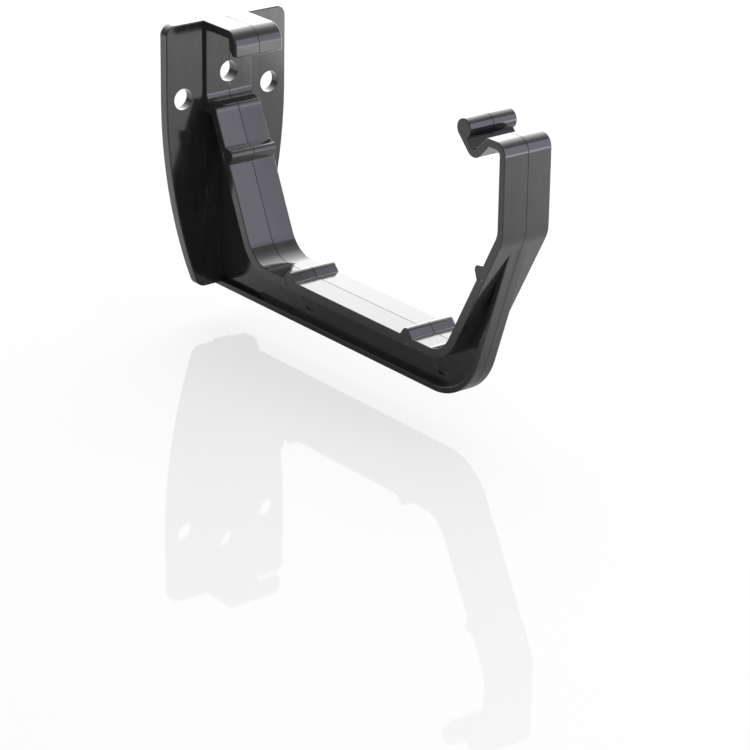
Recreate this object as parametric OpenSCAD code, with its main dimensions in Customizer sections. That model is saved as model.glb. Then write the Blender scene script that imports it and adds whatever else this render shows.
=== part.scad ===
// Fascia bracket for a square rainwater gutter, one moulding in black PVC-U.
//
// Heights are measured up from the arm's underside, and reaches outwards from
// the fascia board. The finished part sits with the centre screw hole on the
// origin: the board's face is the XZ plane, the gutter runs along X, and the
// bracket stands out towards -Y.

/* [Fascia plate] */
// Width of the plate at the screws
plate_w = 36.8; // [34:0.1:40]
// Height of the plate's top edge
plate_h = 71.6; // [70:0.1:76]
// Height of the plate's bottom edge
plate_bottom_h = 0.6; // [0:0.1:3]
// Thickness of the plate's wings
plate_t = 2.7; // [2:0.1:3.5]
// Height at which the sides start to curve inwards
side_curve_h = 52; // [46:1:60]
// Radius of the curved sides
side_curve_r = 145; // [120:1:220]
// Radius of the two top corners
top_corner_r = 2.7; // [0.5:0.1:5]
// Radius of the two bottom corners
bottom_corner_r = 3; // [0.5:0.1:4]
// Thickness of the plate at its raised centre pad
pad_t = 3.8; // [3.5:0.1:5]

/* [Screw holes] */
// Diameter of each hole
hole_d = 5.5; // [4:0.1:6]
// Distance of the centre hole below the plate's top edge
centre_hole_down = 14.1; // [12:0.1:16]
// Distance of the two side holes below the plate's top edge
side_hole_down = 19.5; // [10:0.1:30]
// Distance of each side hole from the plate's side
side_hole_in = 5.05; // [4.5:0.05:6]

/* [Strip around the gutter] */
// Width of the strip, the pad and the top hook
strip_w = 14; // [10:0.5:16]
// Thickness of the strip on the back slope and the arm
strip_t = 2.5; // [2:0.1:3]
// Thickness of the strip on the front leg, the front wall and the lip
front_t = 2.1; // [1.8:0.1:2.6]
// Distance of the ledge, where the strip leaves the pad, below the plate's top edge
ledge_down = 21.3; // [20:0.1:24]
// Distance that the ledge's nose stands out from the pad
nose_out = 4; // [3.5:0.1:5]
// Depth of the nose, from the ledge down to the back slope
nose_h = 1.8; // [1.2:0.1:3]
// Height of the arm's top, on which the gutter sits
seat_h = 13.2; // [10:0.1:15]
// Reach at which the back slope would meet the arm
slope_reach = 24.2; // [22:0.1:27]
// Distance that the front leg leans out, from the arm to the front wall
leg_run = 18.9; // [16:0.1:22]
// Height at which the front leg turns upright
leg_h = 48; // [44:0.5:52]
// Reach of the front wall's inner face
wall_reach = 118.1; // [116:0.1:122]
// Bend radius between the back slope and the arm
back_bend_r = 9; // [5:0.5:11]
// Bend radius between the arm and the front leg
front_bend_r = 8.5; // [5:0.5:10]
// Bend radius between the front leg and the front wall
wall_bend_r = 6; // [3:0.5:10]

/* [Front lip] */
// Height of the lip's flat top
lip_h = 70.25; // [69:0.05:71]
// Length of the lip's flat underside, from the front wall to the dip
lip_flat = 3.9; // [3:0.1:5]
// Distance from the dip's start to the point where the groove's flanks would meet
groove_run = 5.2; // [4.8:0.1:5.6]
// Depth of that point below the lip's flat top
groove_down = 7.35; // [7:0.05:7.7]
// Distance from that point to the bead's centre
bead_run = 3.7; // [3.4:0.1:4]
// Diameter of the bead along the lip's edge
bead_d = 5; // [4.4:0.1:5.4]

/* [Top hook] */
// Distance of the hook's front face from the pad
hook_out = 13; // [11:0.1:15]
// Thickness of the hook's flat top
hook_t = 2.3; // [2:0.1:3]
// Radius of the hook's top corner
hook_corner_r = 4.2; // [1:0.1:4.4]
// Distance of the hook's tip below the plate's top edge
hook_down = 6.6; // [6:0.1:8]
// Thickness of the down-turned part at its root
drop_t = 3.5; // [2.8:0.1:4]
// Thickness of the down-turned part at its tip
tip_t = 1.9; // [1.5:0.1:2.6]

/* [Ridges under the gutter] */
// Width of a ridge at its foot
ridge_w = 4.6; // [3.5:0.1:6]
// Width of a ridge at its top
ridge_top_w = 1.9; // [1.7:0.1:2.4]
// Height of a ridge
ridge_h = 2; // [1:0.1:2.5]
// Drop from the ledge's nose to the ridge on the back slope
slope_ridge_down = 10.1; // [5:0.1:14]
// Distance of the back ridge on the arm from the slope's foot
back_ridge_run = 14.7; // [9:0.1:30]
// Distance of the front ridge on the arm from the leg's foot
front_ridge_run = 13.6; // [9:0.1:30]
// Drop from the front leg's top to its ridge
leg_ridge_down = 10.7; // [6:0.1:16]

/* [Web and outer flange] */
// Thickness of the web between the strip and the flange
web_t = 1.8; // [1.2:0.1:2.2]
// Thickness of the web where it braces the plate
gusset_t = 2.4; // [2.3:0.1:4]
// Distance from the slope's foot back to where the thick web starts on the flange
gusset_foot_run = 9.2; // [4:0.1:15]
// Distance of the thick web's front corner beyond the slope's foot
gusset_tip_run = 6.3; // [5:0.1:12]
// Height of the thick web's front corner
gusset_tip_h = 7; // [4:0.1:9]
// Width of the outer flange
flange_w = 5.6; // [4.5:0.1:8]
// Thickness of the outer flange
flange_t = 1.65; // [1.2:0.05:2.5]
// Radius of the flange around the front corner
flange_corner_r = 17.2; // [14:0.1:20]
// Distance of the flange's corner beyond the leg's foot
flange_corner_run = 4.3; // [3:0.1:6]

/* [Hidden] */

// Largest turn between two points of a bend, in degrees
bend_step = 9;
// How far pieces run into one another, so that they fuse
bury = 0.7;
// Radius along the edges of the ledge and the hook's tip
edge_r = 0.8;
// Radius on the back of the ledge's nose
back_edge_r = 0.3;
// Radius along the top of a ridge
ridge_top_r = 1.3;
// How far the nose's front and the hook's inner face lean out towards the bottom
nose_lean = 0.3;
drop_lean = 0.4;
// Height over which the hook's inner face slants down to the tip
tip_slant_h = 1.3;
// Bend radii of the lip: gutter side and back at the wall, then at the dip
lip_bend_r = [1.3, 2.2];
dip_bend_r = [0.8, 1.6];
// Bend radius on the back of the lip's groove
groove_bend_r = 0.9;
// Bend radius of the flange where it meets the front wall
flange_bend_r = 4;
// Heights above the leg's top, and depths into the wall, of the flange's end
flange_end_rise = [0.5, 3];
flange_end_in = [0.1, 0.5];
$fn = 48;

centre_hole_h = plate_h - centre_hole_down;
side_hole_h = plate_h - side_hole_down;
side_hole_x = plate_w / 2 - side_hole_in;
ledge_h = plate_h - ledge_down;
nose_reach = pad_t + nose_out;
leg_reach = wall_reach - leg_run;
wall_outer = wall_reach + front_t;
lip_under_h = lip_h - front_t;
lip_dip_reach = wall_reach - lip_flat;
groove_reach = lip_dip_reach - groove_run;
bead_reach = groove_reach - bead_run;
hook_reach = pad_t + hook_out;
hook_tip_h = plate_h - hook_down;
flange_corner_reach = leg_reach + flange_corner_run;
gusset_tip_reach = slope_reach + gusset_tip_run;
// The lip's last stretch runs up into the bead from below, at half a right angle
lip_end = bead_d / 2 * cos(45);

// The strip's gutter side from the pad to the front wall. Each point is
// [reach, height, bend radius on the gutter side, bend radius on the back].
seat_path = [
    [pad_t, plate_h - bury, 0, 0],
    [pad_t, ledge_h, 2 * edge_r, 0],
    [nose_reach, ledge_h, edge_r, back_edge_r],
    [nose_reach + nose_lean, ledge_h - nose_h, edge_r, back_edge_r],
    [slope_reach, seat_h, back_bend_r, back_bend_r + strip_t],
    [leg_reach, seat_h, front_bend_r, front_bend_r + strip_t],
    [wall_reach, leg_h, wall_bend_r, wall_bend_r + front_t],
];

// The rest of the gutter side, over the lip and up to the bead.
lip_path = [
    [wall_reach, lip_under_h, lip_bend_r[0], lip_bend_r[1]],
    [lip_dip_reach, lip_under_h, dip_bend_r[0], dip_bend_r[1]],
    [groove_reach, lip_h - groove_down, groove_bend_r + front_t, groove_bend_r],
    [bead_reach - lip_end, lip_h - lip_end, 0, 0],
];
strip_thickness = [pad_t - plate_t + bury, strip_t, strip_t, strip_t, strip_t,
                   front_t, front_t, front_t, front_t, front_t];

// The outer side of the flange, from the board to the front wall.
flange_path = [
    [0, 0, 0, 0],
    [flange_corner_reach, 0, flange_corner_r, flange_corner_r - flange_t],
    [wall_outer - flange_end_in[0], leg_h + flange_end_rise[0], flange_bend_r, flange_bend_r],
    [wall_outer - flange_end_in[1], leg_h + flange_end_rise[1], 0, 0],
];
flange_thickness = [-flange_t, -flange_t, -flange_t];

function flat(p) = [p[0], p[1]];

// Steps to the right of travel from a to b by distance t.
function aside(a, b, t) = t * [b[1] - a[1], a[0] - b[0]] / norm(flat(b) - flat(a));

// The point where the line from a to b meets the line from c to d.
function meet(a, b, c, d) = a + (b - a) * cross(c - a, d - c) / cross(b - a, d - c);

// Corner i of a path, moved aside by the thickness t[i] of each stretch.
function moved(path, t, i) = let (
        last = len(path) - 1,
        before = i > 0 ? aside(path[i - 1], path[i], t[i - 1]) : [0, 0],
        after = i < last ? aside(path[i], path[i + 1], t[i]) : [0, 0])
    i == 0 ? flat(path[0]) + after
    : i == last ? flat(path[last]) + before
    : meet(flat(path[i - 1]) + before, flat(path[i]) + before,
           flat(path[i]) + after, flat(path[i + 1]) + after);

// A path moved aside by the share k of its thickness, as [x, y, radius].
function shifted(path, t, k) = [for (i = [0 : len(path) - 1])
    let (p = moved(path, [for (v = t) k * v], i), r = path[i][2] * (1 - k) + path[i][3] * k)
    [p[0], p[1], r]];

// Points of the arc that rounds corner b, between its neighbours a and c.
function bend(a, b, c) = let (
        u = (flat(a) - flat(b)) / norm(flat(a) - flat(b)),
        v = (flat(c) - flat(b)) / norm(flat(c) - flat(b)),
        half = acos(u * v) / 2,
        middle = flat(b) + (u + v) / norm(u + v) * b[2] / sin(half),
        start = flat(b) + u * b[2] / tan(half) - middle,
        side = cross(v, u) > 0 ? 1 : -1,
        steps = ceil((180 - 2 * half) / bend_step))
    [for (s = [0 : steps]) let (w = side * s * (180 - 2 * half) / steps)
        middle + [start[0] * cos(w) - start[1] * sin(w), start[0] * sin(w) + start[1] * cos(w)]];

// An open path with each inner corner rounded by its own radius.
function rounded(path) = let (last = len(path) - 1) [
    flat(path[0]),
    for (i = [1 : last - 1])
        each path[i][2] > 0 ? bend(path[i - 1], path[i], path[i + 1]) : [flat(path[i])],
    flat(path[last])];

// A closed outline with every corner rounded by its own radius.
function rounded_loop(pts) = let (n = len(pts)) [for (i = [0 : n - 1])
    each pts[i][2] > 0 ? bend(pts[(i + n - 1) % n], pts[i], pts[(i + 1) % n]) : [flat(pts[i])]];

function reversed(list) = [for (i = [len(list) - 1 : -1 : 0]) list[i]];

// A band of material between a path and the same path moved aside.
module band(path, t) {
    polygon(concat(rounded(shifted(path, t, 0)), reversed(rounded(shifted(path, t, 1)))));
}

// Stands an outline of reaches and heights upright, with its width along X.
module upright(width) {
    rotate([90, 0, -90])
        translate([0, 0, -width / 2])
            linear_extrude(width)
                children();
}

// Half the plate's width at height h.
function plate_half_w(h) = plate_w / 2 - side_curve_r
    + sqrt(pow(side_curve_r, 2) - pow(max(side_curve_h - h, 0), 2));

// One side of the plate from the bottom to the top, as [x, height, radius].
plate_side = [
    [plate_half_w(plate_bottom_h), plate_bottom_h, bottom_corner_r],
    for (h = [plate_bottom_h + 5 : 4 : side_curve_h]) [plate_half_w(h), h, 0],
    [plate_w / 2, plate_h, top_corner_r],
];

module screw_hole(x, h) {
    translate([x, 1, h])
        rotate([90, 0, 0])
            cylinder(h = pad_t + 2, d = hole_d);
}

module fascia_plate() {
    rotate([90, 0, 0])
        linear_extrude(plate_t)
            polygon(rounded_loop(concat(
                plate_side, [for (p = reversed(plate_side)) [-p[0], p[1], p[2]]])));
}

// A ridge's outline, with its foot on the X axis.
module ridge() {
    foot = ridge_w / 2;
    polygon(rounded_loop([
        [-foot, -bury, 0],
        [foot, -bury, 0],
        [foot, 0, 0],
        [ridge_top_w / 2, ridge_h, ridge_top_r],
        [-ridge_top_w / 2, ridge_h, ridge_top_r],
        [-foot, 0, 0]]));
}

// Puts a ridge on the stretch from a to b, where its height is h.
module ridge_at_height(a, b, h) {
    share = (h - a[1]) / (b[1] - a[1]);
    translate(flat(a) + (flat(b) - flat(a)) * share)
        rotate(atan2(b[1] - a[1], b[0] - a[0]))
            ridge();
}

module ridges() {
    ridge_at_height(seat_path[3], seat_path[4], ledge_h - nose_h - slope_ridge_down);
    for (reach = [slope_reach + back_ridge_run, leg_reach - front_ridge_run])
        translate([reach, seat_h])
            ridge();
    ridge_at_height(seat_path[5], seat_path[6], leg_h - leg_ridge_down);
}

// The hook leaves the plate's top edge, runs out flat and turns down. Its
// inner face leans outwards towards the tip.
module top_hook() {
    under = plate_h - hook_t;
    polygon(rounded_loop([
        [plate_t - bury, plate_h, 0],
        [plate_t - bury, under, 0],
        [hook_reach - drop_t, under, edge_r / 2],
        [hook_reach - drop_t + drop_lean, hook_tip_h + tip_slant_h, edge_r],
        [hook_reach - tip_t, hook_tip_h, edge_r / 2],
        [hook_reach, hook_tip_h, edge_r / 2],
        [hook_reach, plate_h, hook_corner_r]]));
}

module bead() {
    translate([bead_reach, lip_h])
        circle(d = bead_d);
}

// The web fills the space between the strip and the outer flange.
module web_outline() {
    inner = shifted(seat_path, strip_thickness, 0.5);
    outer = shifted(flange_path, flange_thickness, 0.5);
    polygon(concat(
        [[0, ledge_h - strip_t / 2]],
        rounded([for (i = [2 : len(inner) - 1]) inner[i]]),
        reversed(rounded(outer))));
}

// The web is thicker behind this line, where it braces the plate.
module gusset_area() {
    polygon([
        [0, 0],
        [slope_reach - gusset_foot_run, 0],
        [gusset_tip_reach, gusset_tip_h],
        [gusset_tip_reach - seat_h / 3, seat_h],
        [slope_reach, seat_h],
        [slope_reach, ledge_h],
        [0, ledge_h]]);
}

module gusset_outline() {
    intersection() {
        web_outline();
        gusset_area();
    }
}

module bracket() {
    color([0.05, 0.05, 0.06])
        translate([0, 0, -centre_hole_h])
            difference() {
                union() {
                    fascia_plate();
                    upright(strip_w) {
                        band(concat(seat_path, lip_path), strip_thickness);
                        ridges();
                        top_hook();
                        bead();
                    }
                    upright(web_t)
                        web_outline();
                    upright(gusset_t)
                        gusset_outline();
                    upright(flange_w)
                        band(flange_path, flange_thickness);
                }
                screw_hole(0, centre_hole_h);
                for (x = [-side_hole_x, side_hole_x])
                    screw_hole(x, side_hole_h);
            }
}

bracket();
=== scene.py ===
import math
import bpy
import numpy as np
from mathutils import Matrix, Vector


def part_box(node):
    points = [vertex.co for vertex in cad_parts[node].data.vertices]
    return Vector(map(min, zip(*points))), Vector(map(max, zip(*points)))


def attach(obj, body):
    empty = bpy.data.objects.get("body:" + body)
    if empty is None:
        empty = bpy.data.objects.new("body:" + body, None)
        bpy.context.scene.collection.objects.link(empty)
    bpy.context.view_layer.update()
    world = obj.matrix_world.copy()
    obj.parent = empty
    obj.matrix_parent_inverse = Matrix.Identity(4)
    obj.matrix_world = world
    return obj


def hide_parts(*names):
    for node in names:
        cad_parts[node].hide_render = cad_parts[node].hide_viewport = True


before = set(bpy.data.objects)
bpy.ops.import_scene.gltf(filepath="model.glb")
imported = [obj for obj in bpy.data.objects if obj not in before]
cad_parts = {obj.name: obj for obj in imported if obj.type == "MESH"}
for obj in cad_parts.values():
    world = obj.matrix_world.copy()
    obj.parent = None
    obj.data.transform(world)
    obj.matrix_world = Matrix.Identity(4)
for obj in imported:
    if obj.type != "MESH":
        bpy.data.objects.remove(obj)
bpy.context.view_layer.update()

# Fascia bracket for a square rainwater gutter: one injection moulding in black
# PVC-U. Lengths are in millimetres until a mesh is made. An outline is drawn in
# reaches (out from the fascia board, towards -Y) and heights (above the
# underside of the arm), and widths lie along X.


# --- Gutter strip -----------------------------------------------------------
# The strip is the part of the moulding that holds the gutter: it hooks over the
# gutter's back edge, leaves the plate at a ledge, runs down and along under the
# gutter, up its front and over into the lip with its round bead. The two halves
# of the mould met along its middle, which leaves a fine line and a slight taper
# to both sides.
MM = 0.001
low, high = (np.array(corner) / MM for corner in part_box("bracket"))
base_h = low[2]
front_reach = -low[1]
plate_half_w = high[0]

strip_w = 14.0
strip_t = 2.5
front_t = 2.1
pad_t = 3.8
plate_h = 71.6
ledge_h = plate_h - 21.3
nose_reach = pad_t + 4.0
nose_h = 1.8
nose_lean = 0.3
seat_h = 13.2
slope_reach = 24.2
wall_reach = front_reach - front_t
leg_reach = wall_reach - 18.9
leg_h = 48.0
back_bend_r = 9.0
front_bend_r = 8.5
wall_bend_r = 6.0
lip_h = 70.25
dip_reach = wall_reach - 3.9
groove_reach = dip_reach - 5.2
groove_h = lip_h - 7.35
bead_reach = groove_reach - 3.7
bead_r = 2.5
hook_reach = pad_t + 13.0
hook_t = 2.3
hook_tip_h = plate_h - 6.6
hook_corner_r = 4.2
drop_t = 3.5
drop_lean = 0.4
tip_t = 1.9
tip_slant_h = 1.3
hook_lean = 0.3
ridge_foot_w = 4.6
ridge_apex_h = 2.84
slope_ridge_h = ledge_h - nose_h - 10.1
arm_ridge_reaches = (slope_reach + 14.7, leg_reach - 13.6)
leg_ridge_h = leg_h - 10.7
ridge_top_r = 1.43
ridge_fillet_r = 0.35
edge_r = 0.25

# The line is a little wider and deeper than a real one, so that it shows.
line_half_w = 0.09
line_depth = 0.12
taper_stations = (0.3, 1.2)
draft = math.tan(math.radians(0.5))


def unit(v):
    """Vectors of length one, along the last axis."""
    return v / np.linalg.norm(v, axis=-1, keepdims=True)


def rounded(corners, closed=False, step=3.0):
    """Rounds an outline given as rows of reach, height and radius. The arc at a
    corner touches both neighbouring stretches: its middle lies on the line that
    halves the corner, at radius over the sine of half the angle, and its points
    turn from one touching point to the other by equal angles of no more than step
    degrees."""
    rows = np.array(corners, float)
    before, after = np.roll(rows, 1, 0)[:, :2], np.roll(rows, -1, 0)[:, :2]
    out = []
    for n, (a, row, c) in enumerate(zip(before, rows, after)):
        b, radius = row[:2], row[2]
        if radius == 0 or (not closed and n in (0, len(rows) - 1)):
            out.append([b])
            continue
        u, v = unit(a - b), unit(c - b)
        half = math.acos(np.clip(u @ v, -1, 1)) / 2
        middle = b + unit(u + v) * radius / math.sin(half)
        start = b + u * radius / math.tan(half) - middle
        end = b + v * radius / math.tan(half) - middle
        turn = math.pi - 2 * half
        k = np.linspace(0, 1, math.ceil(math.degrees(turn) / step) + 1)[:, None]
        out.append(middle + (np.sin((1 - k) * turn) * start + np.sin(k * turn) * end)
                   / math.sin(turn))
    return np.concatenate(out)


def set_aside(path, thickness):
    """The path moved to the right of its travel, each stretch by its own
    thickness: neighbouring moved stretches are prolonged until they meet."""
    p = np.asarray(path, float)
    run = unit(np.diff(p, axis=0))
    right = np.column_stack([run[:, 1], -run[:, 0]]) * np.asarray(thickness)[:, None]
    a, b = p[:-2] + right[:-1], p[1:-1] + right[1:]
    u, v = run[:-1], run[1:]
    gap = b - a
    turn = u[:, 0] * v[:, 1] - u[:, 1] * v[:, 0]
    share = (gap[:, 0] * v[:, 1] - gap[:, 1] * v[:, 0]) / turn
    return np.vstack([p[0] + right[0], a + share[:, None] * u, p[-1] + right[-1]])


def in_section(rings, stations):
    """Reach, height and place along X, as points of the bracket."""
    along_x = np.broadcast_to(stations, rings.shape[:2])
    return np.stack([along_x, -rings[..., 0], rings[..., 1] + base_h], -1)


def in_elevation(rings, stations):
    """Place along X, height and reach, as points of the bracket."""
    outwards = np.broadcast_to(stations, rings.shape[:2])
    return np.stack([rings[..., 0], -outwards, rings[..., 1] + base_h], -1)


def moulded(name, outline, stations, inset, place):
    """A closed shell that carries a clockwise outline along its stations.
    At each station every point of the outline steps inwards, against the
    outline's own normal, by the inset there. The two ends are flat."""
    p = outline
    run = unit(np.roll(p, -1, 0) - p)
    left = np.column_stack([-run[:, 1], run[:, 0]])
    both = left + np.roll(left, 1, 0)
    normal = both / (1 + np.sum(left * np.roll(left, 1, 0), -1))[:, None]
    inset = np.broadcast_to(inset, (len(p), len(stations)))
    rings = p[:, None] - normal[:, None] * inset[..., None]
    points = place(rings, np.asarray(stations, float)).reshape(-1, 3)
    n, m = inset.shape
    i, j = np.meshgrid(np.arange(n), np.arange(m - 1), indexing="ij")
    k = (i + 1) % n
    quads = np.stack([i * m + j, k * m + j, k * m + j + 1, i * m + j + 1], -1).reshape(-1, 4)
    start, end = np.arange(n)[::-1] * m, np.arange(n) * m + m - 1
    faces = quads.tolist() + [start.tolist(), end.tolist()]
    mesh = bpy.data.meshes.new(name)
    mesh.from_pydata((points * MM).tolist(), [], faces)
    piece = bpy.data.objects.new(name, mesh)
    bpy.context.scene.collection.objects.link(piece)
    return piece


def round_edge(r, steps=5):
    """Steps inwards and along, from the start to the end of a quarter circle."""
    t = np.linspace(0, math.pi / 2, steps + 1)
    return r * (1 - np.cos(t)), r * np.sin(t)


def across(width, r):
    """Stations over a width with round edges and a fine line in the middle. Comes
    back with the inset of the edges' quarter circles at each, and the inset of
    the mould's taper and line."""
    inward, along = round_edge(r)
    beside_line = [line_half_w, 2 * line_half_w, *taper_stations]
    half = np.concatenate([beside_line, width / 2 - r + along])
    inward = np.concatenate([np.zeros(len(beside_line)), inward])
    stations = np.concatenate([-half[::-1], [0], half])
    edge = np.concatenate([inward[::-1], [0], inward])
    line = line_depth * np.clip(1 - np.abs(stations) / line_half_w, 0, 1)
    return stations, edge, np.abs(stations) * draft + line


def ridge_on(start, end, reach=None, height=None):
    """Corner rows of a ridge on the stretch from start to end: a small fillet at
    each foot, and two flanks that lean together under a round top."""
    start, end = np.array(start, float), np.array(end, float)
    run = unit(end - start)
    up = np.array([-run[1], run[0]])
    share = (reach - start[0]) / (end - start)[0] if height is None else \
        (height - start[1]) / (end - start)[1]
    middle = start + share * (end - start)
    section = [(-ridge_foot_w / 2, 0, ridge_fillet_r), (0, ridge_apex_h, ridge_top_r),
               (ridge_foot_w / 2, 0, ridge_fillet_r)]
    return [(*(middle + a * run + b * up), r) for a, b, r in section]


# The strip and the web start inside the plate, and the hook's top lies a hair
# below the plate's, so that no two of the fused faces coincide.
root_reach = 2.0
deep_reach = 1.0
hook_top_h = plate_h - 0.01
lip_under_h = lip_h - front_t
nose_foot = (nose_reach + nose_lean, ledge_h - nose_h)
slope_foot = (slope_reach, seat_h)
leg_foot = (leg_reach, seat_h)
leg_top = (wall_reach, leg_h)
wall_top = (wall_reach, lip_under_h)
bead_side = bead_r * math.cos(math.pi / 4)
bead_foot = (bead_reach - bead_side, lip_h - bead_side)

hook_tip_r = 0.45
hook_slant_r = 0.8
hook_fillet_r = 0.4
hook = [(root_reach, hook_top_h, 0),
        (hook_reach - hook_lean, hook_top_h, hook_corner_r),
        (hook_reach, hook_tip_h, hook_tip_r),
        (hook_reach - tip_t, hook_tip_h, hook_tip_r),
        (hook_reach - drop_t + drop_lean, hook_tip_h + tip_slant_h, hook_slant_r),
        (hook_reach - drop_t, plate_h - hook_t, hook_fillet_r),
        (pad_t, plate_h - hook_t, hook_fillet_r)]

ledge_fillet_r = 2.4
nose_edge_r = 1.4
nose_foot_r = 3.0
wall_top_r = 1.3
dip_r = 0.8
groove_r = 3.0
seat = [(pad_t, ledge_h, ledge_fillet_r),
        (nose_reach, ledge_h, nose_edge_r),
        (*nose_foot, nose_foot_r),
        *ridge_on(nose_foot, slope_foot, height=slope_ridge_h),
        (*slope_foot, back_bend_r),
        *ridge_on(slope_foot, leg_foot, reach=arm_ridge_reaches[0]),
        *ridge_on(slope_foot, leg_foot, reach=arm_ridge_reaches[1]),
        (*leg_foot, front_bend_r),
        *ridge_on(leg_foot, leg_top, height=leg_ridge_h),
        (*leg_top, wall_bend_r),
        (*wall_top, wall_top_r),
        (dip_reach, lip_under_h, dip_r),
        (groove_reach, groove_h, groove_r),
        (*bead_foot, 0)]

# The outer side of the strip follows the inner one at the wall's thickness. The
# bead turns on past its top until it meets the lip's outer side: its points lie
# every 4 degrees between its foot, at 225, and its end, at -54.
inner = [(pad_t, ledge_h), (nose_reach, ledge_h), nose_foot, slope_foot, leg_foot, leg_top,
         wall_top, (dip_reach, lip_under_h), (groove_reach, groove_h), bead_foot]
outer = set_aside(inner, [strip_t] * 5 + [front_t] * 4)
bead_end = math.radians(-54)
bead_turn = np.radians(np.arange(221, -52, -4))
bead = np.column_stack([bead_reach + bead_r * np.cos(bead_turn),
                        lip_h + bead_r * np.sin(bead_turn)])

# The front and the back stretch of the outer side meet under the arm.
under_arm = (leg_reach - 15, seat_h - strip_t, 0)
deep_top_h = plate_h - 0.7
groove_back_r = 0.9
dip_back_r = 1.6
lip_corner_r = 3.3
back_edge_r = 0.45
front = [(bead_reach + bead_r * math.cos(bead_end), lip_h + bead_r * math.sin(bead_end), 0),
         (*outer[8], groove_back_r),
         (*outer[7], dip_back_r),
         (*outer[6], lip_corner_r),
         (*outer[5], wall_bend_r + front_t),
         (*outer[4], front_bend_r + strip_t),
         under_arm]
back = [under_arm,
        (*outer[3], back_bend_r + strip_t),
        (outer[2][0], outer[1][1], back_edge_r),
        (root_reach, ledge_h - strip_t, 0),
        (deep_reach, deep_top_h, 0)]

# The edges are round all along the gutter's side and the front, and stay sharp
# where the strip's back meets the mould's deep pockets.
parts = [rounded(hook + seat), bead, rounded(front)[:-1], rounded(back)]
strip_outline = np.concatenate(parts)
edge_share = np.ones(len(strip_outline))
edge_share[-len(parts[3]):] = 0
stations, edge, middle = across(strip_w, edge_r)
strip = moulded("strip", strip_outline, stations, edge_share[:, None] * edge + middle,
                in_section)


# The end of each ridge runs on as a shallow, round-ended dent in the strip's
# side.
dent_half_w = 1.75
dent_below = 2.2
dent_above = 3.0
dent_depth = 0.2
tool_over = 1.0
circle = np.radians(np.arange(0, -360, -7.5))


def ridge_dents(name, start, end, reach=None, height=None):
    """Tools that sink the strip's two sides at the ends of a ridge: an oval whose
    half width is dent_half_w, and which reaches below and above the strip's top.
    A tool stands out from the skin by tool_over."""
    rows = ridge_on(start, end, reach, height)
    foot = (np.array(rows[0][:2]) + rows[2][:2]) / 2
    run = unit(np.array(rows[2][:2]) - rows[0][:2])
    up = np.array([-run[1], run[0]])
    tall = np.where(np.sin(circle) > 0, dent_above, dent_below)
    oval = (foot + dent_half_w * np.cos(circle)[:, None] * run
            + (tall * np.sin(circle))[:, None] * up)
    skin_x = strip_w / 2
    floor_x = skin_x - dent_depth
    left = moulded(name + "_left", oval, [-skin_x - tool_over, -skin_x, -floor_x],
                   [0, 0, dent_depth], in_section)
    right = moulded(name + "_right", oval, [floor_x, skin_x, skin_x + tool_over],
                    [dent_depth, 0, 0], in_section)
    return [left, right]


dents = [*ridge_dents("slope_dent", nose_foot, slope_foot, height=slope_ridge_h),
         *ridge_dents("back_dent", slope_foot, leg_foot, reach=arm_ridge_reaches[0]),
         *ridge_dents("front_dent", slope_foot, leg_foot, reach=arm_ridge_reaches[1]),
         *ridge_dents("leg_dent", leg_foot, leg_top, height=leg_ridge_h)]


# --- Fascia plate -----------------------------------------------------------
# The plate screws flat to the fascia board. Its sides are upright at the screws
# and curve inwards below them, and its corners and front edges are rounded.
plate_t = 2.7
plate_bottom_h = 0.6
side_curve_h = 52.0
side_curve_r = 145.0
top_corner_r = 2.7
bottom_corner_r = 3.0
bottom_corner_h = 4.0
plate_edge_r = 0.35

curve_heights = np.linspace(plate_bottom_h, side_curve_h, 18)
curve_half_w = plate_half_w - side_curve_r + np.sqrt(
    side_curve_r ** 2 - (side_curve_h - curve_heights) ** 2)
curve_corners = [(w, h, bottom_corner_r if n == 0 else 0)
                 for n, (w, h) in enumerate(zip(curve_half_w, curve_heights))
                 if n == 0 or h > plate_bottom_h + bottom_corner_h]
right_side = [(plate_half_w, plate_h, top_corner_r)] + curve_corners[::-1]
left_side = [(-w, h, r) for w, h, r in right_side[::-1]]
plate_outline = rounded(right_side + left_side, closed=True)
inward, along = round_edge(plate_edge_r)
plate_stations = np.concatenate([plate_t - plate_edge_r + along[::-1], [0.0]])
plate_inset = np.concatenate([inward[::-1], [0.0]])
plate = moulded("plate", plate_outline, plate_stations, plate_inset, in_elevation)


# --- Web and gusset ---------------------------------------------------------
# The web is the thin wall that joins the strip to the outer flange. Behind a
# slanting step it is thicker, where it braces the plate. Two shallow round dents
# in its left face are where the pins pushed the moulding out of the mould.
web_t = 1.8
gusset_t = 2.4
flange_t = 1.65
flange_corner_reach = leg_reach + 4.3
flange_corner_r = 17.2
wall_join = (front_reach - 0.1, leg_h + 0.5)
wall_join_r = 4.0
flange_start = (0.02, 0.0)
flange_end = (front_reach - 0.5, leg_h + 3)
web_join_r = 3.0
gusset_foot_reach = slope_reach - 9.2
gusset_tip = (slope_reach + 6.3, 7.0)
gusset_tip_r = 0.5
gusset_top_reach = gusset_tip[0] - 2.9
gusset_edge_r = 0.12
pin_mark_r = 3.1
pin_mark_depth = 0.26
pin_marks = [(39.4, 7.1), (92.1, 7.1)]

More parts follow.
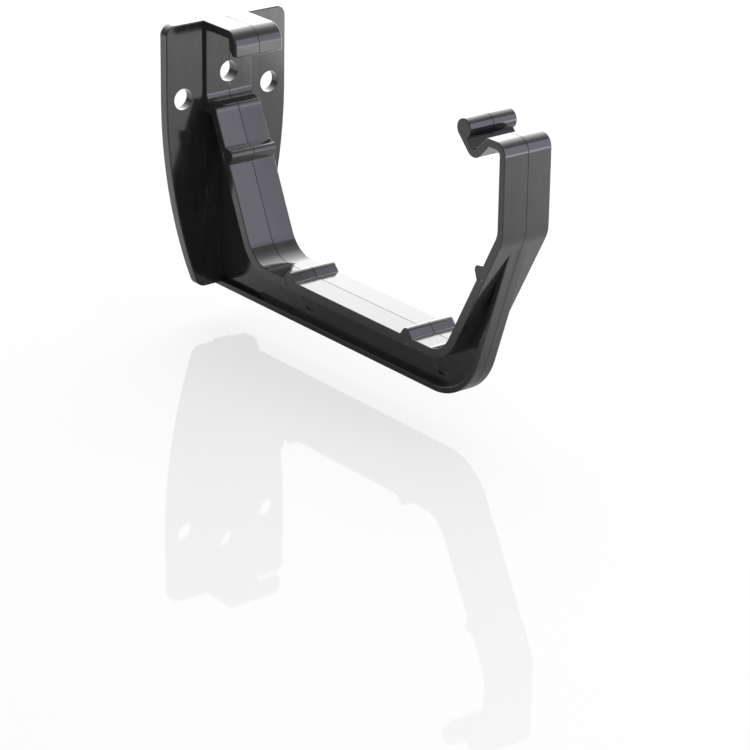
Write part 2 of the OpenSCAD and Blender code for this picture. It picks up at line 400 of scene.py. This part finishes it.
flange_outer = [flange_start, (flange_corner_reach, 0.0), wall_join, flange_end]
strip_middle = set_aside(inner[1:7], np.array([strip_t] * 4 + [front_t]) / 2)
flange_middle = set_aside(flange_outer, [-flange_t / 2] * 3)
web_outline = rounded([(deep_reach, ledge_h - strip_t / 2, 0),
                       (*strip_middle[1], 0),
                       (*strip_middle[2], back_bend_r + strip_t / 2),
                       (*strip_middle[3], front_bend_r + strip_t / 2),
                       (*strip_middle[4], wall_bend_r + front_t / 2),
                       (*flange_middle[3], 0),
                       (*flange_middle[2], web_join_r),
                       (*flange_middle[1], flange_corner_r - flange_t / 2),
                       (deep_reach, flange_t / 2, 0)], closed=True)
web = moulded("web", web_outline, [-web_t / 2, web_t / 2], 0, in_section)

gusset_outline = rounded([(deep_reach, ledge_h - strip_t / 2, 0),
                          (*strip_middle[1], 0),
                          (*strip_middle[2], back_bend_r + strip_t / 2),
                          (gusset_top_reach, seat_h - strip_t / 2, 0),
                          (*gusset_tip, gusset_tip_r),
                          (gusset_foot_reach, flange_t / 2, 0),
                          (deep_reach, flange_t / 2, 0)])
inward, along = round_edge(gusset_edge_r, 3)
side = gusset_t / 2 - gusset_edge_r + along
gusset = moulded("gusset", gusset_outline, np.concatenate([-side[::-1], side]),
                 np.concatenate([inward[::-1], inward]), in_section)

pins = [moulded(f"pin_mark_{n}", np.column_stack([reach + pin_mark_r * np.cos(circle),
                                                  height + pin_mark_r * np.sin(circle)]),
                [-web_t / 2 - tool_over, -web_t / 2, pin_mark_depth - web_t / 2],
                [0, 0, pin_mark_depth], in_section)
        for n, (reach, height) in enumerate(pin_marks)]


# --- Outer flange -----------------------------------------------------------
# The flange stiffens the outer edge of the web. It starts at the plate's foot,
# turns the front corner in a wide bend and runs out into the front wall.
flange_w = 5.6

flange_inner = set_aside(flange_outer, [-flange_t] * 3)
flange_outline = rounded([(*flange_inner[0], 0),
                          (*flange_inner[1], flange_corner_r - flange_t),
                          (*flange_inner[2], wall_join_r),
                          (*flange_inner[3], 0),
                          (*flange_outer[3], 0),
                          (*flange_outer[2], wall_join_r),
                          (*flange_outer[1], flange_corner_r),
                          (*flange_outer[0], 0)], closed=True)
stations, edge, middle = across(flange_w, edge_r)
flange = moulded("flange", flange_outline, stations, edge + middle, in_section)


# --- Screw holes ------------------------------------------------------------
# Three plain round holes take the screws. Each one's rim is a little rounded,
# front and back.
hole_r = 2.75
centre_hole_h = -base_h
side_hole_h = plate_h - 19.5
side_hole_x = plate_half_w - 5.05
rim_r = 0.1

ring = np.radians(np.arange(0, -360, -6))
inward, along = round_edge(rim_r, 4)


def hole_core(name, x, height, face):
    """The core that leaves a hole: a circle that widens in a quarter circle to
    the face in front and to the board behind."""
    outline = np.column_stack([x + hole_r * np.cos(ring), height + hole_r * np.sin(ring)])
    depths = np.concatenate([[face + tool_over], face - inward, inward[::-1], [-tool_over]])
    flare = np.concatenate([[rim_r], rim_r - along, (rim_r - along)[::-1], [rim_r]])
    return moulded(name, outline, depths, -flare, in_elevation)


cores = [hole_core("centre_core", 0.0, centre_hole_h, pad_t),
         hole_core("left_core", -side_hole_x, side_hole_h, plate_t),
         hole_core("right_core", side_hole_x, side_hole_h, plate_t)]


# --- The moulding in one piece ----------------------------------------------
# Black rigid PVC (PVC-U), moulded in one shot. All the shapes above are fused
# to one closed skin, the holes are cut, and the skin is shaded smooth except
# where it really has a crease.
crease = math.radians(24)


def add_step(piece, tool, operation):
    """A boolean step of the fusing: a tool is added to the piece or cut from it."""
    step = piece.modifiers.new(tool.name, "BOOLEAN")
    step.operation = operation
    step.solver = "MANIFOLD"
    step.object = tool


added = [plate, web, gusset, flange]
removed = [*dents, *pins, *cores]
for tool in added:
    add_step(strip, tool, "UNION")
for tool in removed:
    add_step(strip, tool, "DIFFERENCE")
skin = bpy.data.meshes.new_from_object(
    strip.evaluated_get(bpy.context.evaluated_depsgraph_get()))
for used in [strip, *added, *removed]:
    bpy.data.objects.remove(used)
skin.name = "bracket_moulding"
skin.shade_smooth()
skin.set_sharp_from_angle(angle=crease)
moulding = bpy.data.objects.new("bracket_moulding", skin)
bpy.context.scene.collection.objects.link(moulding)
even = moulding.modifiers.new("even_shading", "WEIGHTED_NORMAL")
even.keep_sharp = True


def linear(code):
    """An sRGB hex colour as linear red, green, blue and alpha."""
    c = np.array([int(code[k:k + 2], 16) for k in (1, 3, 5)]) / 255
    return (*np.where(c <= 0.04045, c / 12.92, ((c + 0.055) / 1.055) ** 2.4), 1.0)


def node(tree, kind, settings=None, **inputs):
    """Adds a node, sets its properties and its inputs. An input is given by its
    name, or by its number after an underscore. Another node's output becomes a
    link."""
    made = tree.nodes.new(kind)
    for key, value in (settings or {}).items():
        setattr(made, key, value)
    for key, value in inputs.items():
        by_number = key[0] == "_"
        socket = made.inputs[int(key[1:]) if by_number else key.replace("_", " ")]
        if isinstance(value, bpy.types.NodeSocket):
            tree.links.new(value, socket)
        else:
            socket.default_value = value
    return made


# Black PVC-U, moulded against polished steel and left as it came out. It takes
# the steel's polish: a clear gloss over near black. The skin is a little wavy
# where the wall cooled unevenly, with fine orange peel, dull and bright streaks
# where the melt ran along the strip, and hairline rub marks from its packing.
wave_size = 9.0
wave_rise = 0.012
peel_size = 1.1
peel_rise = 0.0012
streak_size = (1.6, 14.0, 14.0)
patch_size = 6.0
rub_size = (7.0, 5.0, 40.0)
rub_half_w = 0.006
rub_patch = (0.52, 0.62)
rub_roughness = 0.1
uneven_range = (0.75, 1.25)
roughness_range = (0.09, 0.15)
pvc_ior = 1.54

pvc = bpy.data.materials.new("moulded_black_pvc_u")
pvc.use_nodes = True
tree = pvc.node_tree
shader = tree.nodes["Principled BSDF"]
skin_point = node(tree, "ShaderNodeTexCoord").outputs["Object"]


def spots(size, detail):
    """Soft noise, its spots as wide as size says in millimetres, along X, Y, Z."""
    scale = tuple(1 / (one * MM) for one in np.broadcast_to(size, 3))
    grid = node(tree, "ShaderNodeMapping", Vector=skin_point, Scale=scale)
    return node(tree, "ShaderNodeTexNoise", Vector=grid.outputs[0], Scale=1.0,
                Detail=detail).outputs["Fac"]


streaks = spots(streak_size, 2.0)
patches = spots(patch_size, 3.0)
uneven = node(tree, "ShaderNodeMath", {"operation": "ADD"}, _0=streaks, _1=patches)
dullness = node(tree, "ShaderNodeMapRange", _0=uneven.outputs[0], _1=uneven_range[0],
                _2=uneven_range[1], _3=roughness_range[0], _4=roughness_range[1])
# A hairline runs where long, smooth spots pass through their middle value, and
# shows only where the patches are high.
hair = node(tree, "ShaderNodeMath", {"operation": "SUBTRACT"}, _0=spots(rub_size, 0.0), _1=0.5)
off_hair = node(tree, "ShaderNodeMath", {"operation": "ABSOLUTE"}, _0=hair.outputs[0])
on_hair = node(tree, "ShaderNodeMapRange", _0=off_hair.outputs[0], _1=0.0, _2=rub_half_w,
               _3=1.0, _4=0.0)
rubbed = node(tree, "ShaderNodeMapRange", _0=patches, _1=rub_patch[0], _2=rub_patch[1],
              _3=0.0, _4=1.0)
rub = node(tree, "ShaderNodeMath", {"operation": "MULTIPLY"}, _0=on_hair.outputs[0],
           _1=rubbed.outputs[0])
roughness = node(tree, "ShaderNodeMath", {"operation": "MULTIPLY_ADD"}, _0=rub.outputs[0],
                 _1=rub_roughness, _2=dullness.outputs[0])
tone = node(tree, "ShaderNodeMapRange", _0=uneven.outputs[0], _1=uneven_range[0],
            _2=uneven_range[1])
black = node(tree, "ShaderNodeMix", {"data_type": "RGBA"}, _0=tone.outputs[0],
             _6=linear("#1E1E1F"), _7=linear("#242324"))
colour = node(tree, "ShaderNodeMix", {"data_type": "RGBA"}, _0=rub.outputs[0],
              _6=black.outputs[2], _7=linear("#333233"))
waves = node(tree, "ShaderNodeBump", Height=spots(wave_size, 1.0), Distance=wave_rise * MM)
peel = node(tree, "ShaderNodeBump", Height=spots(peel_size, 1.0), Distance=peel_rise * MM,
            Normal=waves.outputs[0])
tree.links.new(colour.outputs[2], shader.inputs["Base Color"])
tree.links.new(roughness.outputs[0], shader.inputs["Roughness"])
tree.links.new(peel.outputs[0], shader.inputs["Normal"])
shader.inputs["IOR"].default_value = pvc_ior
moulding.data.materials.clear()
moulding.data.materials.append(pvc)
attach(moulding, "root")
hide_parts("bracket")


# --- Floor ------------------------------------------------------------------
# A sheet of polished white acrylic below the bracket: plain white, with a faint
# mirror image. In what the black plastic mirrors, the sheet shows painted light:
# it is painted brighter on the right side.
floor_h = -8.0
floor_half = 3000.0
acrylic_ior = 1.49
acrylic_roughness = 0.03

# The sheet's painted level in what the plastic mirrors: sheet_levels by place
# along X in millimetres, and a painted bright band by place along band_towards.
# A painted shade of the bracket lies round a line under its arm, and the sheet
# is painted brighter behind it.
sheet_levels = [(0, 0.9), (200, 2.2)]
band_levels = [(88, 0.0), (98, 2.5), (112, 2.5), (135, 0.8)]
shade_x = -13.0
shade_y = (-80.0, -27.0)
shade_reach = (1.0, 71.0)
shade_level = 0.23
rear_towards = (0.65, 1.0, 0.0)
rear_reach = (-1.0, 40.0)
rear_level = 1.45
band_towards = (1.0, 0.3, 0.0)

# What the eye sees: the mirror image's share between the two ends of image_y,
# the level in the open without it, and how much of the light is the sheet's own.
image_y = (-350.0, 20.0)
image_share = (0.1, 0.2)
open_level = 1.02
image_weight = 1.17
shadow_share = 0.15


def levels_ramp(tree, value, levels):
    """Straight steps between pairs of value and level, the ends held."""
    curve = node(tree, "ShaderNodeFloatCurve", Value=node(
        tree, "ShaderNodeMapRange", _0=value, _1=levels[0][0], _2=levels[-1][0]).outputs[0])
    points = curve.mapping.curves[0].points
    while len(points) < len(levels):
        points.new(0.5, 0.5)
    most = max(level for place, level in levels)
    for point, (place, level) in zip(points, levels):
        point.location = ((place - levels[0][0]) / (levels[-1][0] - levels[0][0]), level / most)
        point.handle_type = "VECTOR"
    curve.mapping.update()
    return node(tree, "ShaderNodeMath", {"operation": "MULTIPLY"},
                _0=curve.outputs[0], _1=most).outputs[0]


floor_mesh = bpy.data.meshes.new("floor")
corners = np.array([(-1, -1), (1, -1), (1, 1), (-1, 1)]) * floor_half
floor_points = np.column_stack([corners, np.full(4, floor_h + base_h)]) * MM
floor_mesh.from_pydata(floor_points.tolist(), [], [[0, 1, 2, 3]])
floor = bpy.data.objects.new("floor", floor_mesh)
bpy.context.scene.collection.objects.link(floor)
acrylic = bpy.data.materials.new("polished_white_acrylic")
acrylic.use_nodes = True
tree = acrylic.node_tree
tree.nodes.clear()
path = node(tree, "ShaderNodeLightPath").outputs
place = node(tree, "ShaderNodeTexCoord").outputs["Object"]
spot = node(tree, "ShaderNodeSeparateXYZ", Vector=place).outputs
# What glossy rays see is painted light: a level along X, a painted shade round a line under the
# arm, a painted brighter stretch behind it, and a painted bright band.
painted_side_level = levels_ramp(tree, spot["X"], [(x * MM, level) for x, level in sheet_levels])
beside = node(tree, "ShaderNodeClamp", Value=spot["Y"], Min=shade_y[0] * MM,
              Max=shade_y[1] * MM)
foot = node(tree, "ShaderNodeCombineXYZ", X=shade_x * MM, Y=beside.outputs[0],
            Z=(floor_h + base_h) * MM)
away = node(tree, "ShaderNodeVectorMath", {"operation": "DISTANCE"}, _0=place,
            _1=foot.outputs[0])
shade = node(tree, "ShaderNodeMapRange", {"interpolation_type": "SMOOTHSTEP"},
             _0=away.outputs["Value"], _1=shade_reach[0] * MM, _2=shade_reach[1] * MM,
             _3=shade_level, _4=1.0)
rearward = node(tree, "ShaderNodeVectorMath", {"operation": "DOT_PRODUCT"},
                _0=place, _1=rear_towards)
rear = node(tree, "ShaderNodeMapRange", _0=rearward.outputs["Value"], _1=rear_reach[0] * MM,
            _2=rear_reach[1] * MM, _3=1.0, _4=rear_level)
shaded = node(tree, "ShaderNodeMath", {"operation": "MULTIPLY"}, _0=painted_side_level,
              _1=shade.outputs[0])
across_band = node(tree, "ShaderNodeVectorMath", {"operation": "DOT_PRODUCT"},
                   _0=place, _1=band_towards)
painted_band_level = levels_ramp(tree, across_band.outputs["Value"],
                         [(x * MM, level) for x, level in band_levels])
both = node(tree, "ShaderNodeMath", {"operation": "MULTIPLY_ADD"}, _0=shaded.outputs[0],
            _1=rear.outputs[0], _2=painted_band_level)
# Glossy rays see this glow of painted light and painted shade in place of the lit sheet.
painted_light = node(tree, "ShaderNodeEmission", Color=(1, 1, 1, 1), Strength=both.outputs[0])
sheet = node(tree, "ShaderNodeBsdfDiffuse", Color=linear("#EDEDED"))
lit = node(tree, "ShaderNodeMixShader", _0=path["Is Glossy Ray"], _1=sheet.outputs[0],
           _2=painted_light.outputs[0])
# The eye sees the sheet white, a little darker in the bracket's shadow. Where its
# mirror image is stronger its own level is lower, so that the sum stays white.
fade = node(tree, "ShaderNodeMapRange", _0=spot["Y"], _1=image_y[0] * MM, _2=image_y[1] * MM,
            _3=image_share[0], _4=image_share[1])
level = node(tree, "ShaderNodeMath", {"operation": "MULTIPLY_ADD"}, _0=fade.outputs[0],
             _1=-image_weight, _2=open_level)
bright = node(tree, "ShaderNodeEmission", Color=(1, 1, 1, 1), Strength=level.outputs[0])
white = node(tree, "ShaderNodeMixShader", _0=shadow_share, _1=bright.outputs[0],
             _2=sheet.outputs[0])
polish = node(tree, "ShaderNodeBsdfGlossy", Color=(1, 1, 1, 1), Roughness=acrylic_roughness)
clear = node(tree, "ShaderNodeFresnel", IOR=acrylic_ior)
gloss = node(tree, "ShaderNodeMath", {"operation": "MULTIPLY"}, _0=clear.outputs[0],
             _1=fade.outputs[0])
seen = node(tree, "ShaderNodeMixShader", _0=gloss.outputs[0], _1=white.outputs[0],
            _2=polish.outputs[0])
direct = node(tree, "ShaderNodeMath", {"operation": "MAXIMUM"},
              _0=path["Is Camera Ray"], _1=path["Is Transmission Ray"])
surface = node(tree, "ShaderNodeMixShader", _0=direct.outputs[0], _1=lit.outputs[0],
               _2=seen.outputs[0])
node(tree, "ShaderNodeOutputMaterial", Surface=surface.outputs[0])
floor_mesh.materials.append(acrylic)


# --- Backdrop and lamps -----------------------------------------------------
# A white backdrop all round. A wide lamp behind and above it shines through, so
# that everything that faces up shines white, a soft one hangs above in front, and
# a soft box in two panels stands a little off the floor in front on the right.

# glow_levels gives the wide lamp's level by the cosine of the angle from its
# middle, and front_range the cosines between which the soft one comes up.
glow_towards = unit(np.array([0.55, 0.785, 0.288]))
glow_levels = [(0.3, 0.3), (0.55, 1.1), (0.65, 2.2), (0.98, 5.2)]
front_towards = unit(np.array([0.1, -0.49, 0.81]))
front_range = (0.2, 0.61)
front_level = 0.45

world = bpy.data.worlds.new("studio")
world.use_nodes = True
bpy.context.scene.world = world
tree = world.node_tree
tree.nodes.clear()
path = node(tree, "ShaderNodeLightPath").outputs
direct = node(tree, "ShaderNodeMath", {"operation": "MAXIMUM"},
              _0=path["Is Camera Ray"], _1=path["Is Transmission Ray"])
looking = node(tree, "ShaderNodeTexCoord").outputs["Generated"]
along_glow = node(tree, "ShaderNodeVectorMath", {"operation": "DOT_PRODUCT"},
                  _0=looking, _1=tuple(glow_towards))
ramp = levels_ramp(tree, along_glow.outputs["Value"], glow_levels)
along_front = node(tree, "ShaderNodeVectorMath", {"operation": "DOT_PRODUCT"},
                   _0=looking, _1=tuple(front_towards))
front_glow = node(tree, "ShaderNodeMapRange", {"interpolation_type": "SMOOTHSTEP"},
                  _0=along_front.outputs["Value"], _1=front_range[0], _2=front_range[1],
                  _3=0.0, _4=front_level)
glow = node(tree, "ShaderNodeMath", {"operation": "ADD"}, _0=ramp, _1=front_glow.outputs[0])
level = node(tree, "ShaderNodeMix", {"data_type": "FLOAT"},
             _0=direct.outputs[0], _2=glow.outputs[0], _3=1.0)
backdrop = node(tree, "ShaderNodeBackground", Color=(1, 1, 1, 1), Strength=level.outputs[0])
node(tree, "ShaderNodeOutputWorld", Surface=backdrop.outputs[0])


def soft_box(name, place, aim, width, height, radiance, colour):
    """A rectangular lamp that looks from its place at a point, both in metres. Its
    power is radiance times its area times pi, so that it mirrors at that level."""
    lamp = bpy.data.lights.new(name, "AREA")
    lamp.shape = "RECTANGLE"
    lamp.size, lamp.size_y = width, height
    lamp.energy = radiance * width * height * math.pi
    lamp.color = linear(colour)[:3]
    box = bpy.data.objects.new(name, lamp)
    turn = (Vector(aim) - Vector(place)).to_track_quat("-Z", "Y")
    box.matrix_world = Matrix.Translation(place) @ turn.to_matrix().to_4x4()
    box.visible_camera = False
    bpy.context.scene.collection.objects.link(box)


panel_distance = 0.33
panel_w = 0.12
panel_h = 0.275
panel_colour = "#EDE6FF"
panel_foot = (floor_h + base_h + 15.0) * MM
panel_azimuth = math.radians(35.8)
panel_out = Vector((math.sin(panel_azimuth), -math.cos(panel_azimuth), 0))
panel_side = Vector((math.cos(panel_azimuth), math.sin(panel_azimuth), 0))
for name, hand, radiance in (("left_panel", -1, 2.35), ("right_panel", 1, 1.75)):
    middle = panel_out * panel_distance + panel_side * hand * panel_w / 2
    middle.z = panel_foot + panel_h / 2
    soft_box(name, middle, middle - panel_out, panel_w, panel_h, radiance, panel_colour)


# --- Camera -----------------------------------------------------------------
# A long lens, a little above the bracket and to its left, turned slightly about
# its own axis.
azimuth, elevation, roll = (math.radians(a) for a in (-37.86, 22.054, 0.749))
camera_place = Vector((-0.46802, -0.65892, 0.24490))
sensor_width = 36.0
lens = 158.9136
shift = (0.0279, -0.0076)

ahead = Vector((-math.sin(azimuth) * math.cos(elevation),
                math.cos(azimuth) * math.cos(elevation),
                -math.sin(elevation)))
level_right = Vector((math.cos(azimuth), math.sin(azimuth), 0))
level_up = level_right.cross(ahead)
right = math.cos(roll) * level_right + math.sin(roll) * level_up
up = math.cos(roll) * level_up - math.sin(roll) * level_right
camera_data = bpy.data.cameras.new("camera")
camera_data.sensor_width = sensor_width
camera_data.lens = lens
camera_data.shift_x, camera_data.shift_y = shift
camera_data.clip_start = 0.05
camera = bpy.data.objects.new("camera", camera_data)
camera.matrix_world = Matrix.Translation(camera_place) @ Matrix(
    (right, up, -ahead)).transposed().to_4x4()
bpy.context.scene.collection.objects.link(camera)
bpy.context.scene.camera = camera
bpy.context.scene.view_settings.view_transform = "Standard"
